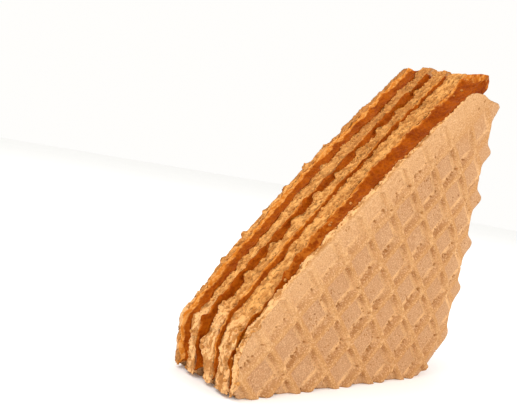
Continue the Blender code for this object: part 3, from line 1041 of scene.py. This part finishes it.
class ScatterTree:
    """Geometry tree that strews small broken crumbs in clusters over the cut walls of a layer."""

    def __init__(self) -> None:
        """Build the tree once."""
        desk = new_group("GeometryNodeTree", "strewn_crumbs", {
            "Geometry": "NodeSocketGeometry", "Crumbs a square metre": 500000.0, "Smallest": 0.00007,
            "Largest": 0.00042, "Seed": "NodeSocketInt", "Material": "NodeSocketMaterial",
        }, {"Geometry": "NodeSocketGeometry"})
        given = desk.tree.nodes["in"].outputs
        place = desk.add("GeometryNodeInputPosition").outputs[0]
        cluster = desk.span(desk.noise(place, 0.004), 0.44, 0.62, 0.12, 2.2)
        spread = desk.fed("GeometryNodeDistributePointsOnFaces", {
            "Mesh": given["Geometry"], "Selection": desk.math("GREATER_THAN", desk.named("wall"), 0.9),
            "Density": desk.times(given["Crumbs a square metre"], cluster), "Seed": given["Seed"]})
        lump = desk.fed("GeometryNodeMeshIcoSphere", {"Radius": 1.0, "Subdivisions": 1})
        dent = desk.times(desk.math("SUBTRACT", desk.noise(place, 1.1), 0.5), 1.6)
        broken = desk.fed("GeometryNodeSetPosition", {
            "Geometry": lump.outputs["Mesh"], "Offset": desk.vector("SCALE", place, dent)})
        turn = desk.fed("FunctionNodeRandomValue", {
            "Max": (math.tau, math.tau, math.tau), "Seed": given["Seed"]}, data_type="FLOAT_VECTOR")
        size = desk.fed("FunctionNodeRandomValue", {
            2: given["Smallest"], 3: given["Largest"], "Seed": given["Seed"]}, data_type="FLOAT")
        copy = desk.fed("GeometryNodeInstanceOnPoints", {
            "Points": spread.outputs["Points"], "Instance": broken.outputs[0],
            "Rotation": turn.outputs[0], "Scale": size.outputs[1]})
        self.tree = close_tree(desk, copy.outputs[0])


class ShadeGroups:
    """Shader groups that more than one finish uses."""

    def __init__(self) -> None:
        """Build each group once."""
        self.mottle = self.build_mottle()
        self.specks = self.build_specks()

    @staticmethod
    def build_mottle() -> bpy.types.NodeTree:
        """Soft uneven tone: broad patches with a fine grain on them."""
        desk = new_group("ShaderNodeTree", "soft_mottle", {
            "Place": "NodeSocketVector", "Patch size": 0.012, "Grain size": 0.0006, "Grain share": 0.4,
        }, {"Tone": "NodeSocketFloat"})
        given, result = desk.tree.nodes["in"].outputs, desk.tree.nodes["out"].inputs
        patch = desk.noise(given["Place"], given["Patch size"], 2.0)
        grain = desk.noise(given["Place"], given["Grain size"], 4.0, 0.65)
        mixed = desk.fed("ShaderNodeMix", {0: given["Grain share"], 2: patch, 3: grain}, data_type="FLOAT")
        desk.feed(result["Tone"], desk.span(mixed.outputs[0], 0.3, 0.7))
        return desk.tree

    @staticmethod
    def build_specks() -> bpy.types.NodeTree:
        """Small baked specks of uneven size, thinner in some places than in others."""
        desk = new_group("ShaderNodeTree", "baked_specks", {
            "Place": "NodeSocketVector", "Spacing": 0.0016, "Reach": 0.22,
        }, {"Mask": "NodeSocketFloat"})
        given, result = desk.tree.nodes["in"].outputs, desk.tree.nodes["out"].inputs
        near = desk.cells(given["Place"], given["Spacing"])
        chance = desk.cells(given["Place"], given["Spacing"], "Color")
        pick = desk.fed("ShaderNodeSeparateColor", {0: chance})
        reach = desk.times(given["Reach"], pick.outputs[0])
        mask = desk.span(desk.math("SUBTRACT", reach, near), 0.0, 0.08)
        area = desk.span(desk.noise(given["Place"], 0.008), 0.42, 0.6)
        desk.feed(result["Mask"], desk.times(mask, area))
        return desk.tree


def use_group(desk: NodeDesk, tree: bpy.types.NodeTree, **values: object) -> bpy.types.NodeSocket:
    """Place a shader group with its own values; underscores in names stand for spaces."""
    node = desk.add("ShaderNodeGroup", node_tree=tree)
    desk.fill(node, {name.replace("_", " "): value for name, value in values.items()})
    return node.outputs[0]


def start_material(name: str) -> tuple[bpy.types.Material, NodeDesk, bpy.types.Node, bpy.types.NodeSocket]:
    """A new material, a desk on its tree, its shader, and the object coordinates in it."""
    material = bpy.data.materials.new(name)
    material.use_nodes = True
    desk = NodeDesk(material.node_tree)
    place = desk.add("ShaderNodeTexCoord").outputs["Object"]
    return material, desk, material.node_tree.nodes["Principled BSDF"], place


def add_object(name: str, data: bpy.types.ID) -> bpy.types.Object:
    """Make an object and link it to the scene."""
    obj = bpy.data.objects.new(name, data)
    bpy.context.scene.collection.objects.link(obj)
    return obj


@dataclass(frozen=True)
class WaferFinish:
    """Matt baked batter: toned relief on the outer faces, with painted shade and painted highlights in its
    tones, and porous crumb at the cuts.
    """

    crest: Colour = (0.500, 0.240, 0.079)
    pad: Colour = (0.505, 0.272, 0.130)
    # painted shade: colour of the far walls of the hollows and their feet
    wall: Colour = (0.320, 0.122, 0.024)
    # painted light: lighter, yellower colour of the face near the cut
    near_cut: Colour = (0.650, 0.360, 0.160)
    toasted: Colour = (0.480, 0.212, 0.070)
    grain: Colour = (0.800, 0.500, 0.275)
    shade: Colour = (0.360, 0.165, 0.070)
    # painted highlight: colour of the pale floor rims, lower walls and crest lines
    rim: Colour = (0.860, 0.500, 0.220)
    crumb: Colour = (0.430, 0.142, 0.020)
    crumb_light: Colour = (0.920, 0.450, 0.130)
    skin: Colour = (0.900, 0.390, 0.080)
    # dark brown of streaks in the crumb, and painted shade inside its sunk pores
    pore: Colour = (0.170, 0.062, 0.008)
    # own colour of small baked specks, and inside the sunk pits partly painted shade
    pit: Colour = (0.320, 0.120, 0.020)
    soaked: Colour = (0.470, 0.168, 0.036)
    creamy: Colour = (0.970, 0.560, 0.250)
    creamy_dark: Colour = (0.540, 0.235, 0.070)
    roughness: float = 0.75
    specular: float = 0.15
    bump: float = 0.7
    bump_depth: float = 0.00012

    def material(self, groups: ShadeGroups) -> bpy.types.Material:
        """Build the material."""
        material, desk, shader, place = start_material(Kind.WAFER.value)
        specks = use_group(desk, groups.specks, Place=place)
        fine = desk.noise(place, 0.00028, 2.0, 0.6)
        dots = use_group(desk, groups.specks, Place=place, Spacing=0.00065, Reach=0.42)
        broken = desk.span(desk.read("wall"), 0.25, 0.6)
        colour: object = self.crest
        for share, tint in (
            (desk.read("pad"), self.pad),
            # painted light: the face lighter and yellower near the cut
            (desk.times(desk.read("lit_near_cut"), 0.75), self.near_cut),
            # painted shade on the far walls of the hollows and at their feet
            (desk.times(desk.read("wall_shade"), 0.85), self.wall),
            # painted highlights on the rims of the floors, the lower walls and the crests
            (desk.times(desk.read("rim"), 0.8), self.rim),
            (desk.times(use_group(desk, groups.mottle, Place=place), 0.30), self.toasted),
            (desk.span(fine, 0.52, 0.64, 0.0, 0.5), self.grain),
            (desk.span(fine, 0.36, 0.48, 0.42, 0.0), self.shade),
            (desk.times(specks, 0.5), self.pit),
            (desk.times(dots, desk.times(desk.read("pad"), 0.8)), self.pit),
            # darker inside the pits: partly their baked colour, partly painted shade in the recess
            (desk.times(desk.read("pit"), 0.75), self.pit),
            (broken, self.crumb_colour(desk, place, groups)),
        ):
            colour = desk.mix(share, colour, tint)
        desk.fill(shader, {
            "Base Color": colour, "Roughness": self.roughness, "Specular IOR Level": self.specular})
        pitted = desk.math("SUBTRACT", fine, desk.times(specks, 0.8))
        torn = desk.noise(desk.vector("MULTIPLY", place, (1.0, 1.6, 1.0)), 0.0010, 4.0, 0.62)
        height = desk.math("ADD", pitted, desk.times(torn, broken, 7.0))
        desk.roughen(shader, height, self.bump, self.bump_depth)
        return material

    def crumb_colour(self, desk: NodeDesk, place: bpy.types.NodeSocket,
                     groups: ShadeGroups) -> bpy.types.NodeSocket:
        """Colour of the porous inside of a sheet.

        Args:
            desk: Desk on the material's tree.
            place: Object coordinates.
            groups: The shared shader groups.

        Returns:
            A colour.
        """
        along = desk.vector("MULTIPLY", place, (0.75, 1.7, 0.75))
        lumps = desk.span(desk.noise(along, 0.0018, 4.0, 0.60), 0.40, 0.58)
        grain = use_group(desk, groups.mottle, Place=place, Patch_size=0.0025, Grain_size=0.0007,
                          Grain_share=0.7)
        mixed = desk.math("ADD", desk.times(lumps, 0.65), desk.times(grain, 0.35))
        colour = desk.mix(mixed, self.crumb, self.crumb_light)
        through = desk.read("through")
        edge = desk.times(desk.math("ABSOLUTE", desk.math("SUBTRACT", through, 0.5)), 2.0)
        blur = desk.times(desk.math("SUBTRACT", desk.noise(place, 0.0013), 0.5), 1.1)
        smear = desk.times(desk.span(desk.math("ADD", edge, blur), 0.55, 1.0, 0.0, 0.8), desk.read("soak"))
        syrup = desk.times(desk.read("syrup"), desk.span(blur, -0.3, 0.3, 0.4, 0.95))
        colour = desk.mix(desk.math("MAXIMUM", smear, syrup), colour, self.soaked)
        flaky = desk.span(desk.noise(along, 0.0009, 3.0, 0.6), 0.50, 0.60)
        skin = desk.times(desk.span(edge, 0.72, 0.92), flaky, 0.8)
        colour = desk.mix(skin, colour, self.skin)
        creamy = desk.mix(desk.span(mixed, 0.25, 0.60), self.creamy_dark, self.creamy)
        colour = desk.mix(desk.read("creamy"), colour, creamy)
        streak = desk.span(desk.noise(along, 0.0011, 4.0, 0.66), 0.36, 0.45, 0.70, 0.0)
        left = desk.span(desk.read("creamy"), 0.0, 1.0, 1.0, 0.60)
        colour = desk.mix(desk.times(streak, left), colour, self.pore)
        # painted shade in the pores that the crumbly wall tree sinks
        return desk.mix(desk.times(desk.read("pore"), 0.45, left), colour, self.pore)


@dataclass(frozen=True)
class CaramelFinish:
    """Glossy caramel: deep brown in the body and bright orange in the thin lip at its back, partly the thin
    film's own colour and partly painted highlight.
    """

    deep: Colour = (0.190, 0.026, 0.0010)
    middle: Colour = (0.400, 0.082, 0.0025)
    # bright lip colours: partly the thin film's own colour, partly painted highlight
    lip: Colour = (0.560, 0.170, 0.018)
    pale_lip: Colour = (0.720, 0.310, 0.075)
    sheen: Colour = (1.000, 0.480, 0.120)
    roughness: float = 0.45
    specular: float = 0.07
    glow: float = 0.06
    glow_depth: float = 0.0012
    glow_radius: Colour = (1.0, 0.4, 0.1)
    bump: float = 0.8
    bump_depth: float = 0.0005

    def material(self, groups: ShadeGroups) -> bpy.types.Material:
        """Build the material."""
        material, desk, shader, place = start_material(Kind.CARAMEL.value)
        tone = use_group(desk, groups.mottle, Place=place, Patch_size=0.003, Grain_size=0.0006,
                         Grain_share=0.55)
        colour = desk.mix(tone, self.deep, self.middle)
        lumps = desk.span(desk.noise(place, 0.0016, 4.0, 0.6), 0.46, 0.60)
        colour = desk.mix(desk.times(lumps, desk.read("grainy")), colour, self.lip)
        # bright lip: partly the thin film's own colour, partly painted highlight
        lip = desk.read("lip")
        along = desk.vector("MULTIPLY", place, (0.7, 1.6, 0.7))
        ragged = desk.times(desk.math("SUBTRACT", desk.noise(along, 0.0012, 4.0, 0.65), 0.5), 2.2)
        torn = desk.span(desk.math("ADD", lip, ragged), 0.1, 0.8)
        shown = desk.times(desk.span(lip, 0.0, 0.2), torn)
        pale = desk.mix(desk.span(desk.noise(along, 0.0007, 3.0), 0.42, 0.60), self.lip, self.pale_lip)
        gloss = desk.span(desk.noise(place, 0.0011), 0.35, 0.65, self.roughness, self.roughness + 0.25)
        desk.fill(shader, {
            "Base Color": desk.mix(shown, colour, pale), "Roughness": gloss,
            "Specular IOR Level": self.specular, "Specular Tint": self.sheen,
            "Subsurface Weight": self.glow, "Subsurface Radius": self.glow_radius,
            "Subsurface Scale": self.glow_depth,
        })
        desk.roughen(shader, desk.noise(along, 0.0009, 4.0, 0.6), self.bump, self.bump_depth)
        return material


@dataclass(frozen=True)
class CrumbFinish:
    """Loose crumbs of baked batter."""

    light: Colour = (0.720, 0.330, 0.090)
    dark: Colour = (0.360, 0.135, 0.028)
    roughness: float = 0.8
    specular: float = 0.1
    bump: float = 0.5
    bump_depth: float = 0.0001

    def material(self, groups: ShadeGroups) -> bpy.types.Material:
        """Build the material."""
        material, desk, shader, place = start_material("loose_crumb")
        tone = use_group(desk, groups.mottle, Place=place, Patch_size=0.0015, Grain_size=0.0002)
        desk.fill(shader, {"Base Color": desk.mix(tone, self.light, self.dark),
                           "Roughness": self.roughness, "Specular IOR Level": self.specular})
        desk.roughen(shader, desk.noise(place, 0.0002), self.bump, self.bump_depth)
        return material


CARAMEL_WALL = {
    "Pore size": 0.0022, "Pore depth": 0.0002, "Grain size": 0.0012, "Grain depth": 0.0003, "Ragged": 0.0,
}


@dataclass
class Piece:
    """The whole piece: nine layers, and the crumbs on each square metre of their cut walls."""

    plan: Plan = field(default_factory=Plan)
    stack: Stack = field(default_factory=Stack)
    wafer: WaferFinish = field(default_factory=WaferFinish)
    caramel: CaramelFinish = field(default_factory=CaramelFinish)
    crumb: CrumbFinish = field(default_factory=CrumbFinish)
    crumb_seed: int = 5
    crumbs_on_sheets: float = 500000.0
    crumbs_on_caramel: float = 40000.0

    def build(self) -> list[bpy.types.Object]:
        """Build every layer and the crumbs, and report each."""
        groups = ShadeGroups()
        materials = {
            Kind.WAFER: self.wafer.material(groups),
            Kind.CARAMEL: self.caramel.material(groups),
        }
        crumbly, strewn, loose = CrumbTree(), ScatterTree(), self.crumb.material(groups)
        made = []
        for index, layer in enumerate(self.stack.layers):
            shell = Shell(self.plan, self.stack, index).build()
            settings = {"Material": materials[layer.kind]}
            if layer.kind is Kind.CARAMEL:
                settings |= CARAMEL_WALL
            run_tree(shell, crumbly.tree, settings)
            self.finish(shell)
            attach(shell, "root")
            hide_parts(layer.name)
            made.append(shell)
            LOG.info("%s: %d faces", shell.name, len(shell.data.polygons))
            density = self.crumbs_on_sheets if layer.kind is Kind.WAFER else self.crumbs_on_caramel
            if layer.kind is Kind.WAFER or layer.squeezed:
                made.append(self.strew(shell, strewn, loose, index, density))
        return made

    def strew(self, shell: bpy.types.Object, scatter: ScatterTree, loose: bpy.types.Material,
              index: int, density: float) -> bpy.types.Object:
        """Strew crumbs on the cut wall of a layer.

        Args:
            shell: The finished layer.
            scatter: The geometry tree that strews.
            loose: Material of the crumbs.
            index: Number of the layer, for the seed.
            density: Crumbs on each square metre.

        Returns:
            One mesh with all the crumbs of this layer.
        """
        crumbs = add_object(self.stack.layers[index].name + "_crumbs", shell.data.copy())
        run_tree(crumbs, scatter.tree, {
            "Crumbs a square metre": density, "Seed": self.crumb_seed + index, "Material": loose})
        self.finish(crumbs)
        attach(crumbs, "root")
        LOG.info("%s: %d faces", crumbs.name, len(crumbs.data.polygons))
        return crumbs

    @staticmethod
    def finish(obj: bpy.types.Object) -> None:
        """Keep a mesh within the solids' box and shade it smoothly."""
        mesh = obj.data
        points = np.empty(len(mesh.vertices) * 3, np.float32)
        mesh.vertices.foreach_get("co", points)
        points = np.clip(points.reshape(-1, 3), np.array(CAD_LOW), np.array(CAD_HIGH))
        mesh.vertices.foreach_set("co", points.astype(np.float32).ravel())
        mesh.polygons.foreach_set("use_smooth", np.ones(len(mesh.polygons), bool))
        mesh.update()


@dataclass(frozen=True)
class Studio:
    """Pale floor, soft light and the camera."""

    camera_in_cells: tuple[float, float, float] = (-9.75, -10.25, 3.26)
    heading_deg: float = 41.835
    pitch_deg: float = -3.629
    roll_deg: float = -10.43
    lens: float = 44.976
    floor_size: float = 3.0
    floor_tones: tuple[Colour, Colour] = ((0.93, 0.93, 0.92), (0.96, 0.96, 0.95))
    sky: Colour = (1.0, 0.99, 0.97)
    lights: tuple[tuple[str, Colour, float, float], ...] = (
        ("key", (0.30, -0.34, 0.42), 0.30, 1.5),
        ("top", (-0.25, 0.12, 0.50), 0.40, 1.2),
        ("fill", (-0.50, -0.12, 0.14), 0.30, 0.5),
    )

    def build(self, plan: Plan) -> None:
        """Set up the camera, the floor and the lights."""
        scene = bpy.context.scene
        scene.view_settings.view_transform = "Standard"
        self.add_camera(plan)
        self.add_floor()
        for light in self.lights:
            self.add_light(*light)
        world = bpy.data.worlds.new("soft_room")
        world.use_nodes = True
        background = world.node_tree.nodes["Background"]
        NodeDesk(world.node_tree).fill(background, {"Color": self.sky, "Strength": 1.0})
        scene.world = world

    def add_camera(self, plan: Plan) -> None:
        """Place the camera where the photograph was taken from."""
        heading, pitch = math.radians(self.heading_deg), math.radians(self.pitch_deg)
        forward = Vector((math.sin(heading) * math.cos(pitch), math.cos(heading) * math.cos(pitch),
                          math.sin(pitch)))
        level = Vector((math.cos(heading), -math.sin(heading), 0.0))
        turned = Matrix.Rotation(math.radians(self.roll_deg), 3, forward)
        right = turned @ level
        up = right.cross(forward)
        camera = add_object("camera", bpy.data.cameras.new("camera"))
        camera.data.lens = self.lens
        camera.data.clip_start = 0.001
        x, depth, z = self.camera_in_cells
        camera.matrix_world = Matrix((
            (right.x, up.x, -forward.x, 0.0),
            (right.y, up.y, -forward.y, 0.0),
            (right.z, up.z, -forward.z, 0.0),
            (0.0, 0.0, 0.0, 1.0),
        ))
        camera.location = Vector((x, depth, z)) * plan.cell + plan.origin
        bpy.context.scene.camera = camera

    def add_floor(self) -> None:
        """Lay a plain pale floor."""
        half = self.floor_size / 2.0
        mesh = bpy.data.meshes.new("floor")
        corners = [(-half, -half, 0.0), (half, -half, 0.0), (half, half, 0.0), (-half, half, 0.0)]
        mesh.from_pydata(corners, [], [(0, 1, 2, 3)])
        floor = add_object("floor", mesh)
        material, desk, shader, place = start_material("pale_floor")
        tone = desk.mix(desk.noise(place, 0.2), *self.floor_tones)
        desk.fill(shader, {"Base Color": tone, "Roughness": 0.9})
        mesh.materials.append(material)

    @staticmethod
    def add_light(name: str, place: tuple[float, float, float], size: float, power: float) -> None:
        """Add a soft square light that looks at the middle of the piece.

        Args:
            name: Name of the light.
            place: Where it hangs, in metres.
            size: Length of its side, in metres.
            power: Its power, in watts.
        """
        light = bpy.data.lights.new(name, "AREA")
        light.size = size
        light.energy = power
        obj = add_object(name, light)
        obj.location = place
        aim = Vector((0.0, 0.0, 0.035)) - Vector(place)
        obj.rotation_euler = aim.to_track_quat("-Z", "Y").to_euler()


def main() -> None:
    """Build the piece and the studio."""
    logging.basicConfig(level=logging.INFO, format="%(name)s: %(message)s")
    piece = Piece()
    made = piece.build()
    LOG.info("%d pieces", len(made))
    Studio().build(piece.plan)


if __name__ == "__main__":
    main()
